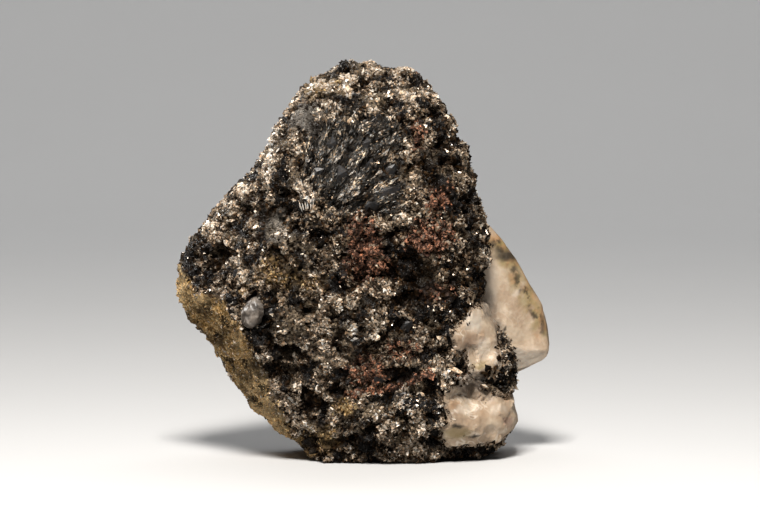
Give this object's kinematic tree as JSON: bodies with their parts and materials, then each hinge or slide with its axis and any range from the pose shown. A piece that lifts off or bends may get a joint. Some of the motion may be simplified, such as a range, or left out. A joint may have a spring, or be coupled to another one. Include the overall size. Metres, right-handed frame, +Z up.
{
  "type": "chlorargyrite ore specimen",
  "caption": "Palm-sized upright chunk of dark granular silver ore, grown together with milky quartz that shows in a window at the front and as a smooth lobe behind.",
  "frame": {"origin": "on the surface that the stone rests on, under the middle of the stone's box", "axes": "+Z up towards the stone's summit, -Y the side that faces the viewer in the picture, +X to the viewer's right, where the quartz is"},
  "size_m": [0.0556, 0.0378, 0.0586],
  "materials": {
    "ore": "dark granular ore with a broken metallic glitter and rusty stains",
    "quartz": "milky quartz, smooth curved breaks, waxy sheen",
    "grey_quartz": "grey cloudy quartz, glassy"
  },
  "bodies": {
    "root": {"ore_mass": "ore", "quartz_mass": "quartz", "quartz_grain": "grey_quartz"}
  },
  "joints": []
}
